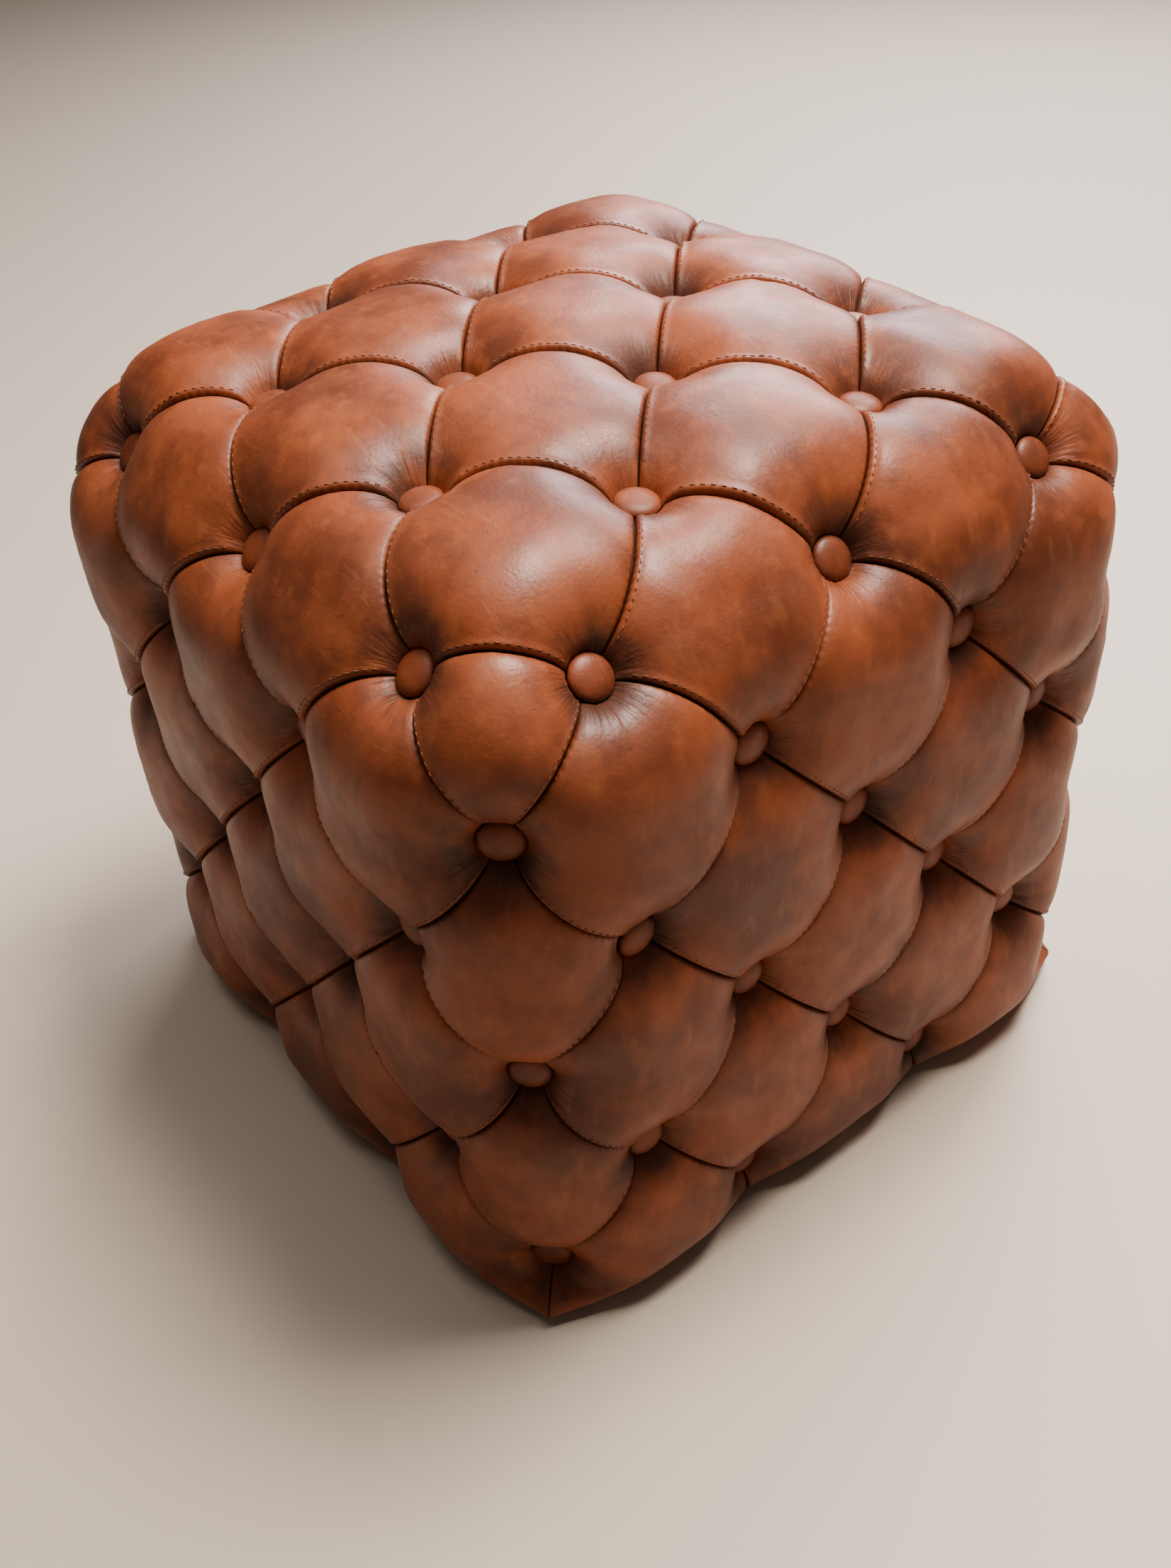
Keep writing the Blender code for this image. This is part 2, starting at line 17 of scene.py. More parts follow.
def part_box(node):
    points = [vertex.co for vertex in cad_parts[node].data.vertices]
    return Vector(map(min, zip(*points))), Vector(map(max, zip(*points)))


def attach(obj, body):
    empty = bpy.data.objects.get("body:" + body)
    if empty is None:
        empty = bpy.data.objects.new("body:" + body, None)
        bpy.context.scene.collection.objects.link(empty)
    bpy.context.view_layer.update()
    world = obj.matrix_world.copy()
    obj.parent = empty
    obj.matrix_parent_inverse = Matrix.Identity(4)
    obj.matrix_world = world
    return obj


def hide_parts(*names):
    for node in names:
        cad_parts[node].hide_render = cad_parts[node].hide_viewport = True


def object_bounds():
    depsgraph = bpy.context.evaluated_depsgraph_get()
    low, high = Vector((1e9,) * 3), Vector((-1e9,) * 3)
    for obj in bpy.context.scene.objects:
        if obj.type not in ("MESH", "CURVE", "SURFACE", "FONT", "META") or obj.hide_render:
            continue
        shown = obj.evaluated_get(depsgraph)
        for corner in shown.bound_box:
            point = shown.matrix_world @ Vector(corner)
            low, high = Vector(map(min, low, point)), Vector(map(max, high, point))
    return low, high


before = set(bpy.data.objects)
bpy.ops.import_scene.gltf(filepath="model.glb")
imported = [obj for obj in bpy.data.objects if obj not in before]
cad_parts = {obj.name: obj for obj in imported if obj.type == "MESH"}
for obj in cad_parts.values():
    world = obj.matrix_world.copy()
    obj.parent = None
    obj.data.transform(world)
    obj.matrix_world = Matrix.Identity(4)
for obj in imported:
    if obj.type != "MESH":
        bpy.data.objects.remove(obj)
cad_box = [list(map(float, corner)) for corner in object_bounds()]

SEED = 11
MM = 0.001

noise.seed_set(SEED)

# The soft block, at the depth of the button backs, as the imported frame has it
COLUMNS = 3                    # half diamonds from the middle of a face to its edge
ROWS = 5
PANEL_CREST = 0.028            # how far the middle of a panel stands out
TOP_CROWN = 0.026              # how far the middle of the top stands above its edges
EDGE_RADIUS = 0.0725
HEM_RADIUS = 0.020             # of the upright edges at the hem
BLOCK_HALF = cad_box[1][0] - PANEL_CREST
BLOCK_TOP = cad_box[1][2] - PANEL_CREST - TOP_CROWN
LOWEST_ROW = 0.037
COVER_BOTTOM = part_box("leather_cover")[0][2]
PITCH = BLOCK_HALF / COLUMNS
ROW_PITCH = (BLOCK_TOP - LOWEST_ROW) / ROWS
HEM_ROW = -(BLOCK_TOP - COVER_BOTTOM) / ROW_PITCH

# The leather
SEAM_RISE = 0.0200             # how far a seam stands out halfway between its buttons
PIT = 0.0010                   # how far the leather dips under a button
PIT_RADIUS = 0.0100
PIT_REACH = 0.049              # from a button to where a seam has its full height
PIT_SLOPE = 1.75               # higher is steeper beside the button
HALF_SEAM = 0.052              # from the middle of a seam to its button
PANEL_REACH = 0.053            # from the middle of a panel to its seam
CREASE = 0.0028                # depth of the crease along a seam
CREASE_WIDTH = 0.0018
LIP_HEIGHT = 0.0012            # of the folded edge that laps over at a seam
LIP_WIDTH = 0.0032
HEM_ROUND = 0.007              # of the turn from the sides to the underside
HEM_HALF = 0.223               # from the middle to the straight edge of the hem
HEM_PULL = 0.6                 # how nearly the hem runs straight away from its corners
HANDWORK = 0.0014              # how far a handmade seam wanders
WANDER = 11.0                  # how often it changes its way, in each metre
PLEATS = 0.42 * MM             # height of the soft folds that run out from a button
PLEAT_WAVES = ((11, 1.0, 0.5), (19, -1.7, 0.35), (5, 0.6, 0.5))  # folds, turn and share of each
DUST_COVER_LAP = 0.006         # of the dust cover over the leather that is turned under
STATIONS = (0, 0.12, 0.23, 0.34, 0.44, 0.53, 0.61, 0.68, 0.745, 0.8, 0.845, 0.88, 0.908, 0.93,
            0.947, 0.96, 0.971, 0.98, 0.988, 0.994, 1)
OVERLAP_SIDE = Vector((0.25, 0.4, 1.0))  # the panel on this side of a seam laps over the other

BUTTON_RADIUS = 0.0115
BUTTON_DOME = 0.0066
BUTTON_LIFT = 0.0026           # from the block to the back of a button
STITCH_PITCH = 0.0043
STITCH_LENGTH = 0.0026
STITCH_RADIUS = 0.00034
STITCH_INSET = 0.0026          # from the crease to the row of stitches
STITCH_END = 0.017             # from a button to the nearest stitch
TWINE_RADIUS = 0.9 * MM
STAPLE_CROWN = 0.010
STAPLE_WIRE = 0.3 * MM
STAPLES = 11                   # along each side of the dust cover

SAME_PLACE = 1e-4              # lattice places closer than this are the same place
WELDS = 20000                  # to each half diamond, of places that are joined

SIDES = {"front": (0, -1), "right": (1, 0), "back": (0, 1), "left": (-1, 0)}


# Lattice


def block_points(lattice):
    """Places on the soft block for an (n, 3) array of lattice points, and the outward directions."""
    depths = np.stack(
        [COLUMNS - abs(lattice[:, 0]), COLUMNS - abs(lattice[:, 1]), -lattice[:, 2]], 1
    )
    order = np.argsort(depths, axis=1, kind="stable")
    rows = np.arange(len(lattice))
    move = depths[rows, order[:, 0]]
    signs = np.where(lattice > 0, 1.0, -1.0)
    signs[:, 2] = 1.0
    folded = lattice.astype(float).copy()
    for nearest in (0, 1):
        axis = order[:, nearest]
        folded[rows, axis] += move * signs[rows, axis]
    flat = folded * (PITCH, PITCH, ROW_PITCH) + (0, 0, BLOCK_TOP)
    share_to_hem = np.clip(2 * (ROWS + folded[:, 2]) / (ROWS + HEM_ROW) - 1, 0, 1)
    radius = EDGE_RADIUS + (HEM_RADIUS - EDGE_RADIUS) * share_to_hem
    reach = (BLOCK_HALF - radius)[:, None]
    core = flat.copy()
    core[:, :2] = np.clip(flat[:, :2], -reach, reach)
    core[:, 2] = np.minimum(flat[:, 2], BLOCK_TOP - radius)
    outward = flat - core
    outward /= np.linalg.norm(outward, axis=1, keepdims=True)
    places = core + outward * radius[:, None]
    u = folded[:, 0] / COLUMNS
    v = folded[:, 1] / COLUMNS
    places[:, 2] += TOP_CROWN * (1 - u * u) * (1 - v * v)
    return places, outward, folded


def block_point(lattice):
    places, outward, _ = block_points(np.array([lattice], float))
    return Vector(places[0]), Vector(outward[0])


def button_direction(lattice):
    """The way a button faces: out from the block, tilted with the crown of the top."""
    _, outward = block_point(lattice)
    u = lattice.x / COLUMNS
    v = lattice.y / COLUMNS
    slope = Vector((u * (1 - v * v), v * (1 - u * u), 0)) * (-2 * TOP_CROWN / BLOCK_HALF)
    return (outward - slope * outward.z**2).normalized()


def on_block(point):
    inside = abs(point.x) <= COLUMNS and abs(point.y) <= COLUMNS and -ROWS <= point.z <= 0
    return inside and (point.z == 0 or COLUMNS in (abs(point.x), abs(point.y)))


def is_button(point):
    return round(point.x + point.y + point.z) % 2 == 1 and point.z >= -ROWS


def whole_points():
    across = range(-COLUMNS, COLUMNS + 1)
    for i in across:
        for j in across:
            for k in range(-ROWS, 1):
                if k == 0 or COLUMNS in (abs(i), abs(j)):
                    yield Vector((i, j, k))


PANELS = [point for point in whole_points() if not is_button(point)]
BUTTONS = [point for point in whole_points() if is_button(point)]


def panel_outline(centre):
    """A panel's corners in order round its middle, seen from outside."""
    axes = (Vector((1, 0, 0)), Vector((0, 1, 0)), Vector((0, 0, 1)))
    steps = [axis * sign for axis in axes for sign in (1, -1)]
    corners = [centre + step for step in steps if on_block(centre + step)]
    outward = Vector((int(centre.x / COLUMNS), int(centre.y / COLUMNS), centre.z == 0))
    outward.normalize()
    if centre.z == -ROWS:
        along = Vector((-outward.y, outward.x, 0))
        hem = Vector((centre.x, centre.y, HEM_ROW))
        corners += [hem + along, hem - along]
    start = corners[0] - centre
    start = (start - outward * start.dot(outward)).normalized()
    across = outward.cross(start)

    def turn(corner):
        from_centre = corner - centre
        return math.atan2(across.dot(from_centre), start.dot(from_centre))

    return sorted(corners, key=turn)


def settle(places):
    """The small unevenness of handwork: the same shift for everything that lies at a place."""
    shift = [noise.noise_vector(Vector(place) * WANDER) for place in places]
    return places + np.array(shift) * HANDWORK


# The cover's shape


def at_hem(lattice):
    return np.abs(lattice[..., 2] - HEM_ROW) < SAME_PLACE


def rounded(x, power):
    """From 0 to 1 along a quarter of a superellipse, steep at first and level at the end."""
    x = np.clip(x, 0, 1)
    return (1 - (1 - x) ** power) ** (1 / power)


def crease_profile(distance, laps_over):
    """The leather beside a seam: a folded lip on the side that laps over, a plain dip beside it."""
    circle = 2.0
    fall = -CREASE * (1 - rounded(distance / CREASE_WIDTH, circle))
    if not laps_over:
        sag = 0.12 * CREASE
        return fall - sag * np.exp(-distance / (2 * CREASE_WIDTH))
    ridge = 0.55 * LIP_WIDTH
    spread = 0.75 * LIP_WIDTH
    start = 0.8 * CREASE_WIDTH
    from_ridge = (distance - ridge) / spread
    lip = LIP_HEIGHT * np.exp(-(from_ridge**2))
    return fall + lip * rounded(distance / start, circle)


class Panel:
    """One leather panel: its corners, and how far the leather stands out over it."""

    def __init__(self, centre):
        self.centre = centre
        self.corners = panel_outline(centre)
        buttons = [corner for corner in self.corners if is_button(corner)]
        self.seats = [np.array(block_point(button)[0]) for button in buttons]
        draw = np.random.default_rng(SEED + self.number())
        self.fullness = draw.uniform(0.88, 1.12)
        self.lean = draw.uniform(-0.14, 0.14, 2)

    def number(self):
        """A number of the panel's own, to seed its draws."""
        to_positive = 9
        base = 23
        places = enumerate(self.centre)
        return sum(round(value + to_positive) * base**power for power, value in places)

    def laps_over(self, seam_middle):
        return (self.centre - seam_middle).dot(OVERLAP_SIDE) > 0

    def kites(self):
        """Each corner with the middles of the two seams that meet there."""
        count = len(self.corners)
        for index, corner in enumerate(self.corners):
            before = (corner + self.corners[index - 1]) / 2
            after = (corner + self.corners[(index + 1) % count]) / 2
            yield before, corner, after

    def seams(self, kite):
        """The middles of a kite's seams, without the hem, each with which way of the kite it crosses."""
        before, _, after = kite
        for middle, crossed in ((before, 0), (after, 1)):
            if not at_hem(np.array(middle)):
                yield middle, crossed

    def lattice(self, kite, s, t):
        corners = np.array([self.centre, *kite])
        weights = np.stack([(1 - s) * (1 - t), s * (1 - t), s * t, (1 - s) * t], 1)
        return weights @ corners

    def heights(self, kite, s, t, places):
        """How far the leather stands out, how far the nearest button is and the share of full rise."""
        distances = [np.linalg.norm(places - seat, axis=1) for seat in self.seats]
        nearest = np.min(distances, axis=0)
        rise = rounded((nearest - PIT_RADIUS) / (PIT_REACH - PIT_RADIUS), PIT_SLOPE)
        fade = np.clip((nearest - PIT_RADIUS) / (6 * MM), 0, 1)
        bulge = np.ones_like(s)
        crease = np.zeros_like(s)
        for middle, crossed in self.seams(kite):
            position = (s, t)[crossed]
            bulge = bulge * np.sqrt(1 - position**2.4)
            crease += crease_profile((1 - position) * PANEL_REACH, self.laps_over(middle))
        bulge = bulge**0.85 * (PANEL_CREST - SEAM_RISE) * self.fullness
        bulge *= 1 + self.lean[0] * (s - 0.5) + self.lean[1] * (t - 0.5)
        height = -PIT + (PIT + SEAM_RISE) * rise + bulge * rounded(rise * 1.2, 2.0)
        return height + crease * fade, nearest, rise


def hem_tuck(places, folded):
    """Draws the leather to a straight hem with sharp corners, and round to the underside."""
    share = np.clip((-ROWS - folded[:, 2]) / (-ROWS - HEM_ROW), 0, 1)
    hem = folded[:, :2] / COLUMNS * HEM_HALF
    last_quarter = np.abs(folded[:, :2]).min(axis=1) / COLUMNS * 4 - 3
    at_corner = np.clip(last_quarter, 0, 1)
    pull = share**2 * (HEM_PULL + (1 - HEM_PULL) * at_corner)
    moved = places.copy()
    moved[:, :2] += (hem - moved[:, :2]) * pull[:, None]
    low = np.clip((COVER_BOTTOM + HEM_ROUND - places[:, 2]) / HEM_ROUND, 0, 1)
    tucked = (1 - np.sqrt(1 - low**2)) * HEM_ROUND / BLOCK_HALF
    moved[:, :2] *= 1 - tucked[:, None]
    return moved


BUTTON_SEATS = np.array([block_point(button)[0] for button in BUTTONS])
BUTTON_FACING = [button_direction(button) for button in BUTTONS]
BUTTON_FIRST = np.array([facing.orthogonal().normalized() for facing in BUTTON_FACING])
BUTTON_SECOND = np.array([f.cross(Vector(a)) for f, a in zip(BUTTON_FACING, BUTTON_FIRST)])


def from_nearest_button(places):
    """For each place, its offset from the nearest button, in that button's own plane."""
    offsets = places[:, None, :] - BUTTON_SEATS[None, :, :]
    index = (offsets**2).sum(2).argmin(1)
    chosen = offsets[np.arange(len(places)), index]
    x = (chosen * BUTTON_FIRST[index]).sum(1)
    y = (chosen * BUTTON_SECOND[index]).sum(1)
    return x, y, index


def pleats(x, y, index, nearest):
    """Soft folds that run out from each button, as a change in height."""
    golden_angle = 2.399
    angle = np.arctan2(y, x)
    phase = index * golden_angle
    wave = 0
    for folds, turn, share in PLEAT_WAVES:
        wave = wave + share * np.sin(angle * folds + turn * phase)
    start = np.clip((nearest - 8 * MM) / (6 * MM), 0, 1)
    end = np.clip((38 * MM - nearest) / (26 * MM), 0, 1) ** 1.6
    return wave * start * end * PLEATS


def leather_places(panel, kite, s, t):
    """The finished leather over one kite: points, outward directions, lattice and button offsets."""
    lattice = panel.lattice(kite, s, t)
    places, outward, folded = block_points(lattice)
    heights, nearest, rise = panel.heights(kite, s, t, places)
    x, y, index = from_nearest_button(places)
    heights = heights + pleats(x, y, index, nearest)
    at = hem_tuck(settle(places + outward * heights[:, None]), folded)
    return at, outward, folded, np.column_stack([x, y, nearest, rise])


def cover_parts():
    """All kites of all panels as one welded sheet, with what the leather's colour depends on."""
    stations = np.array(STATIONS)
    grid_t, grid_s = np.meshgrid(stations, stations)
    s = grid_s.ravel()
    t = grid_t.ravel()
    numbers = np.arange(len(s)).reshape(len(stations), len(stations))
    corners = [numbers[:-1, :-1], numbers[1:, :-1], numbers[1:, 1:], numbers[:-1, 1:]]
    quads = np.stack(corners, 2).reshape(-1, 4)
    points, lattices, carried, faces = [], [], [], []
    count = 0
    for centre in PANELS:
        panel = Panel(centre)
        for kite in panel.kites():
            at, _, folded, values = leather_places(panel, kite, s, t)
            to_seam = (1 - np.maximum(s, t)) * PANEL_REACH
            along_seam = np.minimum(s, t) * HALF_SEAM
            points.append(at)
            lattices.append(folded)
            carried.append(np.column_stack([values, to_seam, along_seam]))
            faces.append(quads + count)
            count += len(s)
    points = np.concatenate(points)
    lattices = np.concatenate(lattices)
    carried = np.concatenate(carried)
    keys = np.round(lattices * WELDS).astype(np.int64)
    _, first, welded = np.unique(keys, axis=0, return_index=True, return_inverse=True)
    faces = welded.ravel()[np.concatenate(faces)]
    return points[first], faces, lattices[first], carried[first]


def add_attribute(mesh, name, values):
    is_vector = values.ndim == 2
    layer = mesh.attributes.new(name, "FLOAT_VECTOR" if is_vector else "FLOAT", "POINT")
    layer.data.foreach_set("vector" if is_vector else "value", values.astype(np.float32).ravel())


def new_piece(name, mesh, *finishes, smooth=True):
    piece = bpy.data.objects.new(name, mesh)
    bpy.context.collection.objects.link(piece)
    for finish in finishes:
        mesh.materials.append(finish)
    if smooth:
        mesh.shade_smooth()
    return piece


def turned_under(at, faces, lattice):
    """The rings of leather that run from the hem in under the frame, as far as the dust cover."""
    hem = at_hem(lattice)
    edges = np.concatenate([faces[:, [n, (n + 1) % 4]] for n in range(4)])
    hem_edges = edges[hem[edges].all(1)]
    hem_ids = np.unique(hem_edges)
    place_of = {int(number): n for n, number in enumerate(hem_ids)}
    inner_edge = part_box("dust_cover")[1][0] - DUST_COVER_LAP
    target = lattice[hem_ids, :2] / COLUMNS * inner_edge
    points, rings = [], []
    shares = (0.1, 0.3, 0.55, 0.8, 1.0)
    for ring, share in enumerate(shares):
        flat = at[hem_ids, :2] * (1 - share) + target * share
        fold = np.array([noise.noise(Vector((x * 90, y * 90, ring))) for x, y in flat])
        height = COVER_BOTTOM + 0.2 * MM + 0.15 * MM * fold * (share < 1)
        points.append(np.column_stack([flat, height]))
        base = len(at) + (ring - 1) * len(hem_ids)
        for edge in hem_edges.tolist():
            near = edge if ring == 0 else [base + place_of[end] for end in edge]
            far = [base + len(hem_ids) + place_of[end] for end in edge]
            rings.append((near[1], near[0], far[0], far[1]))
    return np.concatenate(points), rings


def leather_cover(finish):
    at, faces, lattice, carried = cover_parts()
    at[at_hem(lattice), 2] = COVER_BOTTOM + 0.3 * MM
    flange, rings = turned_under(at, faces, lattice)
    mesh = bpy.data.meshes.new("leather_cover")
    mesh.from_pydata(np.concatenate([at, flange]).tolist(), [], faces.tolist() + rings)
    extra = len(flange)
    x, y, nearest, rise, to_seam, along_seam = carried.T
    pucker = np.clip((32 * MM - nearest) / (24 * MM), 0, 1)
    offset = np.column_stack([x, y, nearest])
    seam = np.column_stack([to_seam, along_seam, rise])
    add_attribute(mesh, "rise", np.concatenate([rise, np.full(extra, 0.5)]))
    add_attribute(mesh, "pucker", np.concatenate([pucker, np.zeros(extra)]))
    add_attribute(mesh, "from_button", np.concatenate([offset, np.ones((extra, 3))]))
    add_attribute(mesh, "seam", np.concatenate([seam, np.ones((extra, 3))]))
    work = bmesh.new()
    work.from_mesh(mesh)
    bmesh.ops.recalc_face_normals(work, faces=work.faces)
    work.to_mesh(mesh)
    work.free()
    return new_piece("cover", mesh, finish)


def add_stitch(points, faces, line, up):
    """One stitch: a thread that rises out of the leather along a line and dips in again."""
    sides = 5
    widths = np.array([0.35, 0.9, 1.0, 0.9, 0.35]) * STITCH_RADIUS
    depths = np.array([-0.35, -0.05, 0.12, -0.05, -0.35]) * MM
    along = Vector(line[-1] - line[0]).normalized()
    across = along.cross(up).normalized()
    start = len(points)
    for place, width, depth in zip(line, widths, depths):
        middle = Vector(place) + up * depth
        for side in range(sides):
            turn = 2 * math.pi * side / sides
            points.append(middle + (across * math.cos(turn) + up * math.sin(turn)) * width)
    rings = len(line) - 1
    for ring in range(rings):
        first = start + ring * sides
        for side in range(sides):
            after = (side + 1) % sides
            faces.append((first + side, first + after, first + sides + after, first + sides + side))
    last = start + rings * sides
    faces.append(tuple(start + side for side in reversed(range(sides))))
    faces.append(tuple(last + side for side in range(sides)))


def stitches(finish):
    """A row of stitches beside each seam, on the panel that laps over."""
    points, faces = [], []
    stations = np.array([-0.5, -0.36, 0, 0.36, 0.5]) * STITCH_LENGTH
    spots = np.arange(STITCH_PITCH / 2, HALF_SEAM - STITCH_END, STITCH_PITCH)
    run = (spots[:, None] + stations[None, :]).ravel() / HALF_SEAM
    held = np.full(len(run), 1 - STITCH_INSET / PANEL_REACH)
    shape = (len(spots), len(stations), 3)
    for centre in PANELS:
        panel = Panel(centre)
        for kite in panel.kites():
            if not is_button(kite[1]):
                continue
            for middle, crossed in panel.seams(kite):
                if not panel.laps_over(middle):
                    continue
                s, t = (held, run) if crossed == 0 else (run, held)
                at, outward, _, _ = leather_places(panel, kite, s, t)
                for line, normals in zip(at.reshape(shape), outward.reshape(shape)):
                    add_stitch(points, faces, line, Vector(normals[len(stations) // 2]))
    mesh = bpy.data.meshes.new("seam_stitches")
    mesh.from_pydata(points, [], faces)
    return new_piece("seam_stitches", mesh, finish)


# Materials


STREAK = (0.52, 0.20, 0.08, 1)
SEAM_SHADOW = (0.035, 0.012, 0.006, 1)
PORE = (0.05, 0.015, 0.006, 1)
SPECK = (0.06, 0.018, 0.008, 1)
SCRATCH = (0.62, 0.30, 0.14, 1)


def add_node(tree, kind, **settings):
    """A shader node. Settings of its own are set as they are, and inputs by name after in_."""
    made = tree.nodes.new("ShaderNode" + kind)
    for key, value in settings.items():
        if key.startswith("in_"):
            made.inputs[key[3:].replace("_", " ")].default_value = value
        else:
            setattr(made, key, value)
    return made


def link(tree, source, target):
    tree.links.new(source, target)


def arithmetic(tree, operation, first, second=None, third=None):
    made = add_node(tree, "Math", operation=operation)
    for value, socket in zip((first, second, third), made.inputs):
        if value is None:
            continue
        if isinstance(value, (int, float)):
            socket.default_value = value
        else:
            link(tree, value, socket)
    return made.outputs[0]


def ramp(tree, value, low, high, start=0.0, end=1.0):
    """Smoothly from start to end as a value goes from low to high."""
    made = add_node(tree, "MapRange", interpolation_type="SMOOTHSTEP")
    link(tree, value, made.inputs["Value"])
    for name, number in (("From Min", low), ("From Max", high), ("To Min", start), ("To Max", end)):
        made.inputs[name].default_value = number
    return made.outputs[0]


def blend_colours(tree, share, first, second):
    made = add_node(tree, "Mix", data_type="RGBA", blend_type="MIX")
    sockets = [socket for socket in made.inputs if socket.type == "RGBA"]
    factor = made.inputs[0]
    for value, socket in ((share, factor), (first, sockets[0]), (second, sockets[1])):
        if isinstance(value, (int, float, tuple)):
            socket.default_value = value
        else:
            link(tree, value, socket)
    return [socket for socket in made.outputs if socket.type == "RGBA"][0]


def noise_at(tree, place, scale, detail=3.0, roughness=0.5, stretch=None):
    if stretch:
        mapping = add_node(tree, "Mapping", in_Scale=stretch)
        link(tree, place, mapping.inputs["Vector"])
        place = mapping.outputs[0]
    made = add_node(tree, "TexNoise", in_Scale=scale, in_Detail=detail, in_Roughness=roughness)
    link(tree, place, made.inputs["Vector"])
    return made.outputs["Fac"]


def cells_at(tree, place, scale, feature="F1"):
    made = add_node(tree, "TexVoronoi", in_Scale=scale, feature=feature)
    link(tree, place, made.inputs["Vector"])
    return made.outputs["Distance"]


def new_group(name, inputs, outputs):
    """A node group, from the name, kind and starting value of each socket."""
    group = bpy.data.node_groups.new(name, "ShaderNodeTree")
    for side, sockets in (("INPUT", inputs), ("OUTPUT", outputs)):
        for socket, kind, value in sockets:
            made = group.interface.new_socket(socket, in_out=side, socket_type="NodeSocket" + kind)
            if value is not None:
                made.default_value = value
    return group, group.nodes.new("NodeGroupInput"), group.nodes.new("NodeGroupOutput")


def aniline_leather_group():
    """Pull-up leather: cloudy colour, painted shade in the recesses by the buttons and in the creases of
    the seams, and grain.
    """
    group, given, result = new_group(
        "aniline_leather",
        [
            ("Tan", "Color", None),
            ("Umber", "Color", None),
            ("Recess Shade", "Color", None),
            ("Rise", "Float", 1.0),
            ("Seam Shade Mask", "Float", 0.0),
        ],
        [("Color", "Color", None), ("Roughness", "Float", None), ("Height", "Float", None)],
    )
    place = add_node(group, "TexCoord").outputs["Object"]
    tan, umber, recess_shade, rise, seam_shade_mask = given.outputs[:5]
    clouds = ramp(group, noise_at(group, place, 13.0, 4.0, 0.6), 0.40, 0.66)
    mottle = ramp(group, noise_at(group, place, 42.0, 4.0, 0.65), 0.42, 0.72, 0.0, 0.55)
    drawn_out = noise_at(group, place, 95.0, 2.0, 0.5, stretch=(1.0, 1.0, 0.35))
    streaks = ramp(group, drawn_out, 0.55, 0.75, 0.0, 0.18)
    fine = blend_colours(group, clouds, tan, umber)
    fine = blend_colours(group, mottle, fine, umber)
    fine = blend_colours(group, streaks, fine, STREAK)
    # Painted shade, in smoky patches, where the leather is drawn down into the recesses by the buttons
    low = ramp(group, rise, 0.35, 0.98, 1.0, 0.0)
    patches = ramp(group, noise_at(group, place, 26.0, 3.0, 0.6), 0.38, 0.66)
    painted_recess_shade = arithmetic(group, "MULTIPLY", low, patches)
    painted_recess_shade = arithmetic(group, "MULTIPLY", painted_recess_shade, 0.85)
    colour = blend_colours(group, painted_recess_shade, fine, recess_shade)
    # Painted shade: the dark colour laid in the crease along each seam
    colour = blend_colours(group, seam_shade_mask, colour, SEAM_SHADOW)
    pores = ramp(group, cells_at(group, place, 620.0), 0.06, 0.22, 1.0, 0.0)
    specks = ramp(group, cells_at(group, place, 120.0), 0.03, 0.09, 1.0, 0.0)
    scratch_noise = noise_at(group, place, 60.0, 3.0, 0.5, stretch=(0.3, 2.4, 0.9))
    scratches = ramp(group, scratch_noise, 0.655, 0.67)
    for mark, share, tint in ((pores, 0.16, PORE), (specks, 0.45, SPECK), (scratches, 0.05, SCRATCH)):
        colour = blend_colours(group, arithmetic(group, "MULTIPLY", mark, share), colour, tint)
    link(group, colour, result.inputs["Color"])
    sheen = noise_at(group, place, 30.0, 3.0, 0.6)
    roughness = ramp(group, sheen, 0.3, 0.7, 0.40, 0.54)
    roughness = arithmetic(group, "ADD", roughness, arithmetic(group, "MULTIPLY", pores, 0.12))
    link(group, roughness, result.inputs["Roughness"])
    grain = cells_at(group, place, 480.0, "SMOOTH_F1")
    crinkle = noise_at(group, place, 260.0, 4.0, 0.6)
    height = arithmetic(group, "MULTIPLY", grain, 0.35)
    for relief, share in ((crinkle, 0.55), (pores, -0.35), (specks, -0.3), (scratches, -0.15)):
        height = arithmetic(group, "MULTIPLY_ADD", relief, share, height)
    link(group, height, result.inputs["Height"])
    return group


